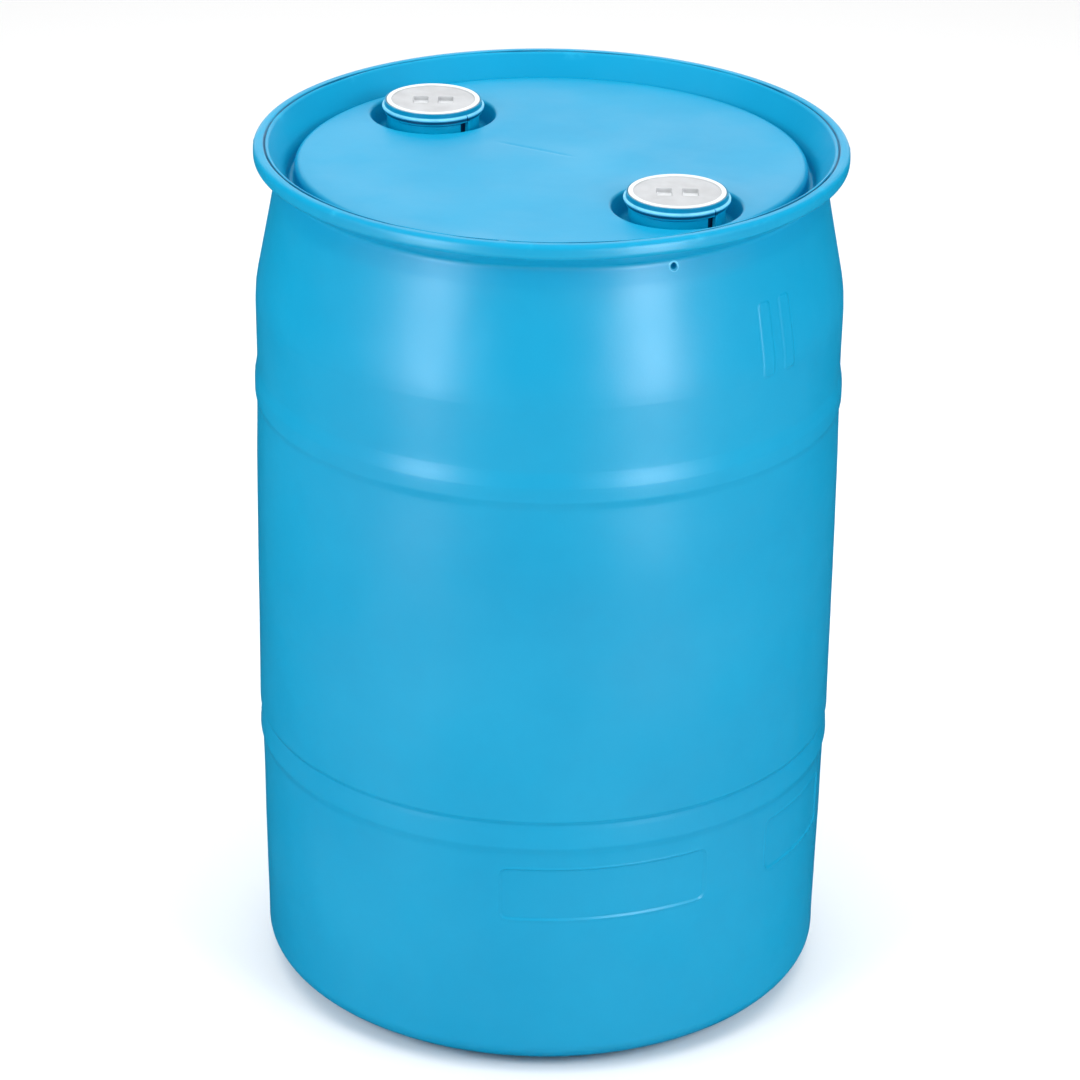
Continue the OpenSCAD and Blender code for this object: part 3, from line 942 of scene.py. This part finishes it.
def add_camera():
    """Looks down at the drum from the front, with the slight roll of a hand-held camera."""
    aim, distance = Vector((-0.006, 0, 0.4596)), 4.3135
    down, roll = math.radians(24.738), math.radians(0.818)
    data = bpy.data.cameras.new("camera")
    data.lens, data.sensor_width = 140.86, 36
    camera = bpy.data.objects.new("camera", data)
    bpy.context.scene.collection.objects.link(camera)
    back = Vector((0, -math.cos(down), math.sin(down)))
    turn = Matrix.Rotation(math.radians(90) - down, 4, "X") @ Matrix.Rotation(roll, 4, "Z")
    camera.matrix_world = Matrix.Translation(aim + back * distance) @ turn
    bpy.context.scene.camera = camera


def add_softbox(name, place, aim, width, height, power, gloss=True, spread=True):
    data = bpy.data.lights.new(name, "AREA")
    data.shape, data.size, data.size_y, data.energy = "RECTANGLE", width, height, power
    lamp = bpy.data.objects.new(name, data)
    lamp.visible_glossy, lamp.visible_diffuse, lamp.visible_camera = gloss, spread, False
    lamp.location = place
    lamp.rotation_euler = (Vector(aim) - Vector(place)).to_track_quat("-Z", "Y").to_euler()
    bpy.context.scene.collection.objects.link(lamp)


def add_studio():
    scene = bpy.context.scene
    scene.view_settings.view_transform = "Standard"
    world = bpy.data.worlds.new("studio")
    world.use_nodes = True
    background = world.node_tree.nodes["Background"]
    background.inputs["Color"].default_value = (1, 1, 1, 1)
    background.inputs["Strength"].default_value = 0.4
    scene.world = world
    mesh = bpy.data.meshes.new("floor")
    size = 30
    mesh.from_pydata(
        [(-size, -size, 0), (size, -size, 0), (size, size, 0), (-size, size, 0)],
        [], [(0, 1, 2, 3)],
    )
    floor = bpy.data.objects.new("floor", mesh)
    scene.collection.objects.link(floor)
    pale = Shades("pale_floor")
    pale.shader.inputs["Base Color"].default_value = (0.96, 0.96, 0.96, 1)
    pale.shader.inputs["Roughness"].default_value = 0.9
    mesh.materials.append(pale.material)
    # as with black cards in a studio, the floor and the room don't show in the drum's gloss
    floor.visible_glossy = False
    world.cycles_visibility.glossy = False
    add_softbox("overhead", (0, 1.0, 4.5), (0, 1.0, 0), 6, 6, 203, gloss=False)
    add_softbox("back_wall", (0, 4.2, 1.7), (0, 0, 0.85), 5, 2.6, 62, spread=False)
    for side in (-1, 1):
        add_softbox("side_fill", (3.2 * side, -1.2, 2.0), (0, 0, 0.5), 1.6, 2.0, 34, gloss=False)
        add_softbox("front_fill", (1.8 * side, -2.0, 2.0), (0, 0, 0.5), 0.8, 1.0, 27, gloss=False)
    add_softbox("left_strip", (-1.02, -1.12, 0.82), (0, 0, 0.7), 0.42, 1.1, 17, spread=False)
    add_softbox("right_strip", (0.88, -1.24, 0.82), (0, 0, 0.7), 0.46, 1.1, 22, spread=False)


add_camera()
add_studio()

SHELL = polyethylene(
    "blue_shell_plastic",
    (0.0, 0.30, 0.53), (0.0, 0.315, 0.55), (0.0, 0.285, 0.51), (0.03, 0.5, 0.76),
)
# the neck's blue is darker than the shell's: painted shade over the neck, lifted again on the wall below the
# flange
NECK = polyethylene(
    "blue_neck_plastic",
    (0.0, 0.23, 0.4), (0.0, 0.24, 0.42), (0.0, 0.21, 0.38), (0.03, 0.5, 0.76), neck=True,
)
WHITE = white_plastic()
RUBBER = gasket_rubber()

dress(make_shell(), "drum", "drum_body", SHELL)
for b in BUNGS:
    side = b["side"]
    dress(make_neck(b), "drum", side + "_bung_housing", NECK)
    dress(make_seal(b), side + "_gasket", side + "_plug_gasket", RUBBER)
    dress(make_plug(b), side + "_plug", side + "_bung_plug", WHITE)
